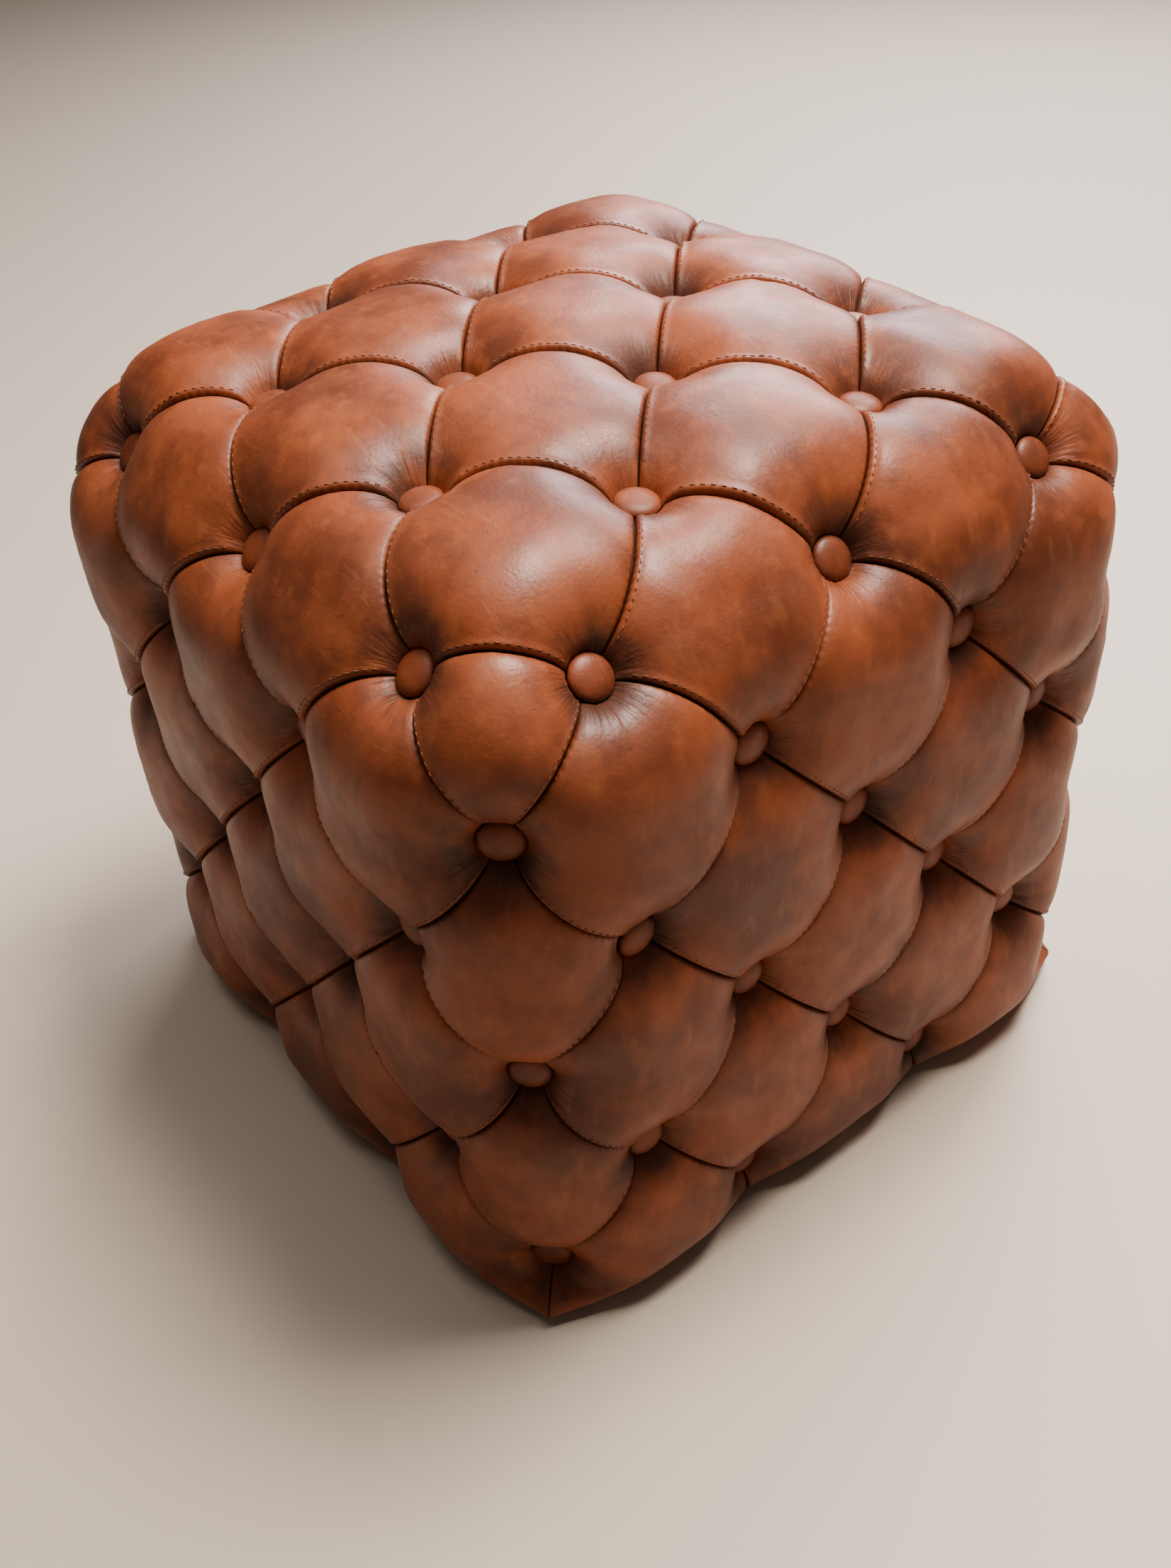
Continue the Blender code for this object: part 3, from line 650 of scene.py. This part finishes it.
def pucker_group():
    """Fine creases that run out from each button, the gathers along a stitched seam, and where shade is
    painted in a seam's crease.
    """
    group, _, result = new_group(
        "gathers", [], [("Height", "Float", None), ("Seam Shade Mask", "Float", None)]
    )
    offset = add_node(group, "Attribute", attribute_name="from_button").outputs["Vector"]
    pucker = add_node(group, "Attribute", attribute_name="pucker").outputs["Fac"]
    seam = add_node(group, "Attribute", attribute_name="seam").outputs["Vector"]
    parts = add_node(group, "SeparateXYZ")
    link(group, offset, parts.inputs[0])
    angle = arithmetic(group, "ARCTAN2", parts.outputs[1], parts.outputs[0])
    away = parts.outputs[2]
    creases_round = 6.5
    creases_along = 60.0
    ring = add_node(group, "CombineXYZ")
    for socket, turned in zip(ring.inputs, ("COSINE", "SINE")):
        link(group, arithmetic(group, "MULTIPLY", arithmetic(group, turned, angle), creases_round), socket)
    link(group, arithmetic(group, "MULTIPLY", away, creases_along), ring.inputs[2])
    place = add_node(group, "TexCoord").outputs["Object"]
    rays = add_node(group, "TexNoise", noise_dimensions="4D", in_Scale=1.0, in_Detail=3.0)
    link(group, ring.outputs[0], rays.inputs["Vector"])
    link(group, noise_at(group, place, 8.0, 0.0), rays.inputs["W"])
    lines = ramp(group, rays.outputs["Fac"], 0.35, 0.65)
    strength = ramp(group, pucker, 0.1, 0.75)
    height = arithmetic(group, "MULTIPLY", lines, strength)
    seam_parts = add_node(group, "SeparateXYZ")
    link(group, seam, seam_parts.inputs[0])
    to_seam, along, rise = seam_parts.outputs
    beat = arithmetic(group, "SINE", arithmetic(group, "MULTIPLY", along, 2 * math.pi / STITCH_PITCH))
    near_seam = ramp(group, to_seam, 0.0, 3.6 * MM, 1.0, 0.0)
    gathers = arithmetic(group, "MULTIPLY", beat, near_seam)
    gathers = arithmetic(group, "MULTIPLY", gathers, ramp(group, rise, 0.6, 0.85))
    height = arithmetic(group, "MULTIPLY_ADD", gathers, 0.35, height)
    link(group, height, result.inputs["Height"])
    # Where shade is painted: the first millimetre beside each seam, darkest at the crease
    crease = ramp(group, to_seam, 0.0, 0.9 * MM, 0.92, 0.0)
    link(group, crease, result.inputs["Seam Shade Mask"])
    return group


def new_material(name, roughness=0.5):
    made = bpy.data.materials.new(name)
    made.use_nodes = True
    shader = made.node_tree.nodes["Principled BSDF"]
    shader.inputs["Roughness"].default_value = roughness
    return made, made.node_tree, shader


def place_group(tree, group):
    made = tree.nodes.new("ShaderNodeGroup")
    made.node_tree = group
    return made


def add_bump(tree, shader, height, distance, under=None):
    """Raises the surface by a height times a distance, over any bump under it."""
    bump = add_node(tree, "Bump", in_Distance=distance, in_Strength=1.0)
    link(tree, height, bump.inputs["Height"])
    if under:
        link(tree, under, bump.inputs["Normal"])
    link(tree, bump.outputs[0], shader.inputs["Normal"])
    return bump.outputs[0]


def leather_material(name, leather_group, tan, umber, recess_shade):
    """Satin leather in three colours, without its grain."""
    made, tree, shader = new_material(name)
    leather = place_group(tree, leather_group)
    for socket, colour in (("Tan", tan), ("Umber", umber), ("Recess Shade", recess_shade)):
        leather.inputs[socket].default_value = (*colour, 1)
    link(tree, leather.outputs["Color"], shader.inputs["Base Color"])
    link(tree, leather.outputs["Roughness"], shader.inputs["Roughness"])
    shader.inputs["Coat Weight"].default_value = 0.08
    shader.inputs["Coat Roughness"].default_value = 0.28
    shader.inputs["Specular IOR Level"].default_value = 0.40
    return made, tree, shader, leather


def cover_leather(leather_group, gathers):
    # The third colour is the painted shade in the recesses by the buttons
    colours = ((0.33, 0.097, 0.043), (0.165, 0.047, 0.022), (0.080, 0.034, 0.022))
    made, tree, shader, leather = leather_material("saddle_leather", leather_group, *colours)
    folds = place_group(tree, gathers)
    rise = add_node(tree, "Attribute", attribute_name="rise").outputs["Fac"]
    link(tree, rise, leather.inputs["Rise"])
    link(tree, folds.outputs["Seam Shade Mask"], leather.inputs["Seam Shade Mask"])
    creased = add_bump(tree, shader, folds.outputs["Height"], 0.34 * MM)
    add_bump(tree, shader, leather.outputs["Height"], 0.26 * MM, under=creased)
    return made


def button_leather(leather_group):
    # The third colour is for painted shade in recesses, which the rise of 1 left on the buttons leaves out
    colours = ((0.29, 0.083, 0.038), (0.15, 0.043, 0.021), (0.11, 0.04, 0.022))
    made, tree, shader, leather = leather_material("button_leather", leather_group, *colours)
    add_bump(tree, shader, leather.outputs["Height"], 0.22 * MM)
    return made


def thread_material(name, colour, twist):
    made, tree, shader = new_material(name, 0.6)
    place = add_node(tree, "TexCoord").outputs["Object"]
    strands = noise_at(tree, place, twist, 2.0, 0.5)
    darker = tuple(value * 0.45 for value in colour) + (1,)
    shade = blend_colours(tree, ramp(tree, strands, 0.35, 0.65), darker, (*colour, 1))
    link(tree, shade, shader.inputs["Base Color"])
    add_bump(tree, shader, strands, 0.1 * MM)
    return made


def wood_material(name, light, dark, rings, stretch):
    """Timber or plywood: growth rings and fibres drawn out upwards, along the grain."""
    made, tree, shader = new_material(name, 0.62)
    place = add_node(tree, "TexCoord").outputs["Object"]
    drawn = add_node(tree, "Mapping", in_Scale=stretch)
    link(tree, place, drawn.inputs["Vector"])
    wave = add_node(tree, "TexWave", wave_type="RINGS", in_Scale=rings, in_Distortion=6.0)
    wave.inputs["Detail"].default_value = 3.0
    link(tree, drawn.outputs[0], wave.inputs["Vector"])
    fibres = noise_at(tree, drawn.outputs[0], 180.0, 3.0, 0.6)
    share = arithmetic(tree, "MULTIPLY", wave.outputs["Fac"], fibres)
    link(tree, blend_colours(tree, share, (*light, 1), (*dark, 1)), shader.inputs["Base Color"])
    link(tree, ramp(tree, fibres, 0.3, 0.7, 0.55, 0.75), shader.inputs["Roughness"])
    add_bump(tree, shader, fibres, 0.15 * MM)
    return made


def foam_material():
    made, tree, shader = new_material("upholstery_foam", 0.95)
    place = add_node(tree, "TexCoord").outputs["Object"]
    cells = cells_at(tree, place, 650.0)
    patches = noise_at(tree, place, 20.0, 3.0, 0.6)
    pale = (0.86, 0.78, 0.54, 1)
    yellowed = (0.80, 0.70, 0.42, 1)
    in_cells = (0.42, 0.33, 0.16, 1)
    shade = blend_colours(tree, ramp(tree, patches, 0.3, 0.7), yellowed, pale)
    shade = blend_colours(tree, ramp(tree, cells, 0.1, 0.35, 0.55, 0.0), shade, in_cells)
    link(tree, shade, shader.inputs["Base Color"])
    add_bump(tree, shader, cells, 0.5 * MM)
    return made


def dust_cloth_material():
    """Spunbond cloth: flattened fibres, pressed together at small scattered dots."""
    made, tree, shader = new_material("dust_cloth", 0.9)
    place = add_node(tree, "TexCoord").outputs["Object"]
    fibres = noise_at(tree, place, 520.0, 4.0, 0.7)
    dots = ramp(tree, cells_at(tree, place, 700.0), 0.1, 0.3, 1.0, 0.0)
    shade = blend_colours(tree, fibres, (0.012, 0.012, 0.014, 1), (0.045, 0.045, 0.05, 1))
    shade = blend_colours(tree, arithmetic(tree, "MULTIPLY", dots, 0.5), shade, (0.07, 0.07, 0.075, 1))
    link(tree, shade, shader.inputs["Base Color"])
    link(tree, ramp(tree, dots, 0.0, 1.0, 0.92, 0.6), shader.inputs["Roughness"])
    add_bump(tree, shader, arithmetic(tree, "SUBTRACT", fibres, dots), 0.12 * MM)
    return made


def nylon_material():
    made, tree, shader = new_material("moulded_nylon", 0.45)
    place = add_node(tree, "TexCoord").outputs["Object"]
    spark = noise_at(tree, place, 900.0, 2.0, 0.5)
    shade = blend_colours(tree, spark, (0.012, 0.012, 0.012, 1), (0.03, 0.03, 0.03, 1))
    link(tree, shade, shader.inputs["Base Color"])
    scuffs = noise_at(tree, place, 120.0, 3.0, 0.6)
    link(tree, ramp(tree, scuffs, 0.35, 0.65, 0.35, 0.62), shader.inputs["Roughness"])
    add_bump(tree, shader, spark, 0.05 * MM)
    return made


def steel_material():
    made, tree, shader = new_material("staple_wire", 0.35)
    place = add_node(tree, "TexCoord").outputs["Object"]
    drawn = noise_at(tree, place, 400.0, 2.0, 0.5, stretch=(0.1, 1.0, 1.0))
    shade = blend_colours(tree, drawn, (0.45, 0.45, 0.46, 1), (0.62, 0.62, 0.63, 1))
    link(tree, shade, shader.inputs["Base Color"])
    shader.inputs["Metallic"].default_value = 1.0
    return made


# Buttons, twine and lacing


def along_side(x, y, z, inner):
    return [Vector((x * COLUMNS - y * u, y * COLUMNS + x * u, z)) for u in inner]


def button_rows():
    """Each CAD row's name, with the lattice points of its buttons."""
    inner = range(1 - COLUMNS, COLUMNS)
    rows = {}
    for number, j in enumerate(inner, 1):
        rows[f"button_row_top_{number}"] = [Vector((i, j, 0)) for i in inner]
    for side, (x, y) in SIDES.items():
        for row in range(1, ROWS + 1):
            rows[f"button_row_{side}_{row}"] = along_side(x, y, -row, inner)
        rows[f"edge_buttons_top_{side}"] = along_side(x, y, 0, inner)
        corner = ((x - y) * COLUMNS, (y + x) * COLUMNS)
        rows[f"edge_buttons_{side}_corner"] = [Vector((*corner, -row)) for row in range(1, ROWS + 1)]
    return {name: [point for point in points if is_button(point)] for name, points in rows.items()}


def add_button(work, place, facing, draw):
    """A domed button covered in leather, pleated where the leather goes round its rim."""
    sides = 40
    rings = 11
    cap_angle = math.radians(118)  # from the middle of the dome round to its back
    fullness = 0.82
    above_rim = 0.62
    rim = 0.62
    gather = 0.014
    gathers = 9
    lean = 0.06
    tilt = Vector((draw.uniform(-lean, lean), draw.uniform(-lean, lean), 1)).normalized()
    lift = facing * (BUTTON_LIFT + draw.uniform(-0.4, 0.5) * MM)
    turn = facing.to_track_quat("Z", "Y").to_matrix() @ tilt.to_track_quat("Z", "Y").to_matrix()
    place = Matrix.Translation(place + lift) @ turn.to_4x4()
    phase = draw.uniform(0, 2 * math.pi)
    layers = []
    for ring in range(rings + 1):
        share = ring / rings
        angle = share * cap_angle
        radius = BUTTON_RADIUS * math.sin(angle) ** fullness
        height = BUTTON_DOME * (math.cos(angle) * above_rim + 1 - above_rim)
        gathered = gather * max(0, share - rim) / (1 - rim)
        layer = []
        for side in range(1 if ring == 0 else sides):
            at = 2 * math.pi * side / sides
            pleat = 1 - gathered * (1 + math.sin(gathers * at + phase))
            point = Vector((radius * pleat * math.cos(at), radius * pleat * math.sin(at), height))
            layer.append(work.verts.new(place @ point))
        layers.append(layer)
    for upper, lower in zip(layers, layers[1:]):
        for side in range(sides):
            after = (side + 1) % sides
            if len(upper) == 1:
                work.faces.new((upper[0], lower[side], lower[after]))
            else:
                work.faces.new((upper[side], lower[side], lower[after], upper[after]))
    work.faces.new(list(reversed(layers[-1])))


def add_tube(work, route, radius, finish_number, sides=8):
    """A round cord or wire along straight runs, with its ends closed."""
    layers = []
    for index, place in enumerate(route):
        before = route[max(0, index - 1)]
        after = route[min(len(route) - 1, index + 1)]
        turn = (after - before).normalized().to_track_quat("Z", "Y").to_matrix()
        layer = []
        for side in range(sides):
            at = 2 * math.pi * side / sides
            layer.append(work.verts.new(place + turn @ Vector((math.cos(at), math.sin(at), 0)) * radius))
        layers.append(layer)
    faces = [work.faces.new(list(reversed(layers[0]))), work.faces.new(layers[-1])]
    for near, far in zip(layers, layers[1:]):
        for side in range(sides):
            after = (side + 1) % sides
            faces.append(work.faces.new((near[side], near[after], far[after], far[side])))
    for face in faces:
        face.material_index = finish_number


def buttons(finish, twine):
    """The buttons of each row with the twine behind them, laced off along the row."""
    shortest = 30 * MM
    longest = 56 * MM
    made = []
    for number, (name, points) in enumerate(button_rows().items()):
        draw = np.random.default_rng(SEED * 100 + number)
        work = bmesh.new()
        low, high = (Vector(corner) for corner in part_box(name))
        inward = -block_point(points[0])[1]
        seats = [Vector(settle(np.array([block_point(point)[0]]))[0]) for point in points]
        lowest = (low, Vector((high.x, high.y, low.z)))
        reach = max(inward.dot(corner) for corner in lowest)
        backs = []
        for point, seat in zip(points, seats):
            add_button(work, seat, button_direction(point), draw)
            deep = min(longest, max(shortest, reach - inward.dot(seat)))
            backs.append(seat + inward * deep)
            run = [seat - inward * 1.5 * MM, seat + inward * 8 * MM, backs[-1]]
            add_tube(work, run, TWINE_RADIUS, 1)
        if len(backs) > 1:
            add_tube(work, [back + inward * 0.5 * MM for back in backs], TWINE_RADIUS, 1)
        mesh = bpy.data.meshes.new(name)
        work.to_mesh(mesh)
        work.free()
        label = name.replace("button_row_", "buttons_")
        made.append((name, new_piece(label + "_covered", mesh, finish, twine)))
    return made


# Foam, dust cover and the frame's own pieces


def foam_pad(name, finish):
    """A foam pad as the frame has it, softened at its cut edges."""
    mesh = bpy.data.objects[name].data.copy()
    mesh.name = name + "_soft"
    mesh.materials.clear()
    piece = new_piece(name + "_soft", mesh, finish)
    remesh = piece.modifiers.new("cut", "REMESH")
    remesh.mode = "VOXEL"
    remesh.voxel_size = 5 * MM
    soften = piece.modifiers.new("soften", "SMOOTH")
    soften.factor = 0.5
    soften.iterations = 4
    evaluated = piece.evaluated_get(bpy.context.evaluated_depsgraph_get())
    softened = bpy.data.meshes.new_from_object(evaluated)
    piece.modifiers.clear()
    piece.data = softened
    softened.shade_smooth()
    return piece


def mesh_piece(name, work, finish):
    mesh = bpy.data.meshes.new(name)
    work.to_mesh(mesh)
    work.free()
    return new_piece(name, mesh, finish)


def dust_cloth(finish):
    """The stretched cloth under the base, and how wide it is."""
    low, high = (Vector(corner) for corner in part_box("dust_cover"))
    half = high.x
    steps = 56
    ripples = 30
    work = bmesh.new()
    grid = []
    for i in range(steps + 1):
        line = []
        for j in range(steps + 1):
            x = -half + 2 * half * i / steps
            y = -half + 2 * half * j / steps
            edge = min(half - abs(x), half - abs(y)) / half
            ripple = noise.noise(Vector((x * ripples, y * ripples, 1)))
            sag = 0.12 * MM * math.sin(math.pi * min(1, edge)) * ripple
            line.append(work.verts.new((x, y, (low.z + high.z) / 2 + sag)))
        grid.append(line)
    for near, far in zip(grid, grid[1:]):
        for j in range(steps):
            work.faces.new((near[j], near[j + 1], far[j + 1], far[j]))
    return mesh_piece("dust_cloth", work, finish), 2 * half


def dust_cover_staples(wire):
    low, high = (Vector(corner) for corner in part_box("dust_cover"))
    half = high.x
    out = half - 4 * MM
    run = 2 * (half - 20 * MM)
    up = Vector((0, 0, 0.5 * MM))
    bend = 0.96
    work = bmesh.new()
    for x, y in SIDES.values():
        along = Vector((-y, x, 0)) * STAPLE_CROWN / 2
        for number in range(STAPLES):
            u = (number - (STAPLES - 1) / 2) * run / (STAPLES - 1)
            middle = Vector((x * out - y * u, y * out + x * u, low.z + 0.1 * MM))
            crown = [middle - along * bend, middle + along * bend]
            route = [middle - along + up, *crown, middle + along + up]
            add_tube(work, route, STAPLE_WIRE, 0, sides=6)
    return mesh_piece("dust_cover_staples", work, wire)


def finish_frame(plywood, timber, nylon):
    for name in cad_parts:
        if name.startswith(("deck", "side_panel")):
            finish = plywood
        elif name.startswith(("corner_post", "bottom_rail", "cross_brace")):
            finish = timber
        elif name.startswith("glide"):
            finish = nylon
        else:
            continue
        for slot in bpy.data.objects[name].material_slots:
            slot.material = finish


# Camera, lights and floor


def camera():
    """The camera, standing above the near corner and rolled a little to one side."""
    azimuth = math.radians(54.77)
    elevation = math.radians(39.38)
    roll = math.radians(-4.24)
    forward = Vector(
        (
            -math.sin(azimuth) * math.cos(elevation),
            math.cos(azimuth) * math.cos(elevation),
            -math.sin(elevation),
        )
    )
    level = forward.cross(Vector((0, 0, 1))).normalized()
    upright = level.cross(forward)
    right = level * math.cos(roll) + upright * math.sin(roll)
    up = upright * math.cos(roll) - level * math.sin(roll)
    lens = bpy.data.cameras.new("camera")
    lens.lens = 34.86
    lens.clip_start = 0.01
    made = bpy.data.objects.new("camera", lens)
    made.matrix_world = Matrix((right, up, -forward)).transposed().to_4x4()
    made.matrix_world.translation = (0.6433, -0.4654, 0.8047)
    bpy.context.collection.objects.link(made)
    bpy.context.scene.camera = made


def area_light(name, place, size, power, colour):
    data = bpy.data.lights.new(name, "AREA")
    data.shape = "RECTANGLE"
    data.size, data.size_y = size
    data.energy = power
    data.color = colour
    made = bpy.data.objects.new(name, data)
    made.location = place
    aim = Vector((0, 0, 0.3))
    made.rotation_euler = (aim - Vector(place)).to_track_quat("-Z", "Y").to_euler()
    bpy.context.collection.objects.link(made)


def lights():
    warm = (1.0, 0.95, 0.90)
    area_light("ceiling_light", (0.25, 0.55, 2.3), (0.8, 0.8), 66, warm)
    area_light("window", (-1.3, 2.3, 1.75), (1.9, 1.5), 84, (0.93, 0.93, 1.0))
    area_light("room_fill", (2.4, -0.6, 1.5), (2.0, 2.0), 2.5, (1.0, 0.93, 0.85))
    area_light("second_ceiling_light", (-0.4, -0.5, 2.5), (1.2, 1.2), 13, warm)
    world = bpy.data.worlds.new("studio")
    world.use_nodes = True
    background = world.node_tree.nodes["Background"]
    background.inputs["Color"].default_value = (0.86, 0.83, 0.80, 1)
    background.inputs["Strength"].default_value = 0.09
    bpy.context.scene.world = world


def floor():
    reach = 12.0
    corners = [(-reach, -reach, 0), (reach, -reach, 0), (reach, reach, 0), (-reach, reach, 0)]
    mesh = bpy.data.meshes.new("floor")
    mesh.from_pydata(corners, [], [(0, 1, 2, 3)])
    paint, _, shader = new_material("pale_floor", 0.5)
    shader.inputs["Base Color"].default_value = (0.66, 0.56, 0.46, 1)
    new_piece("floor", mesh, paint, smooth=False)


def upholster():
    leather_group = aniline_leather_group()
    leather = cover_leather(leather_group, pucker_group())
    cover = leather_cover(leather)
    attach(cover, "root")
    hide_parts("leather_cover")
    sewing = stitches(thread_material("sewing_thread", (0.34, 0.12, 0.045), 1500.0))
    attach(sewing, "root")
    twine = thread_material("waxed_twine", (0.62, 0.52, 0.36), 900.0)
    for row_name, piece in buttons(button_leather(leather_group), twine):
        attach(piece, "root")
        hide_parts(row_name)
    foam = foam_material()
    for side in ("top", *SIDES):
        pad = foam_pad(f"foam_pad_{side}", foam)
        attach(pad, "root")
        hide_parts(f"foam_pad_{side}")
    cloth, width = dust_cloth(dust_cloth_material())
    staples = dust_cover_staples(steel_material())
    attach(cloth, "root")
    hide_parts("dust_cover")
    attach(staples, "root")
    birch = ((0.66, 0.50, 0.31), (0.45, 0.30, 0.16))
    pine = ((0.62, 0.44, 0.24), (0.38, 0.23, 0.10))
    plywood = wood_material("birch_plywood", *birch, 9.0, (1, 1, 0.12))
    timber = wood_material("softwood", *pine, 26.0, (1, 1, 0.1))
    finish_frame(plywood, timber, nylon_material())


camera()
upholster()
lights()
floor()
bpy.context.scene.view_settings.look = "AgX - Medium High Contrast"
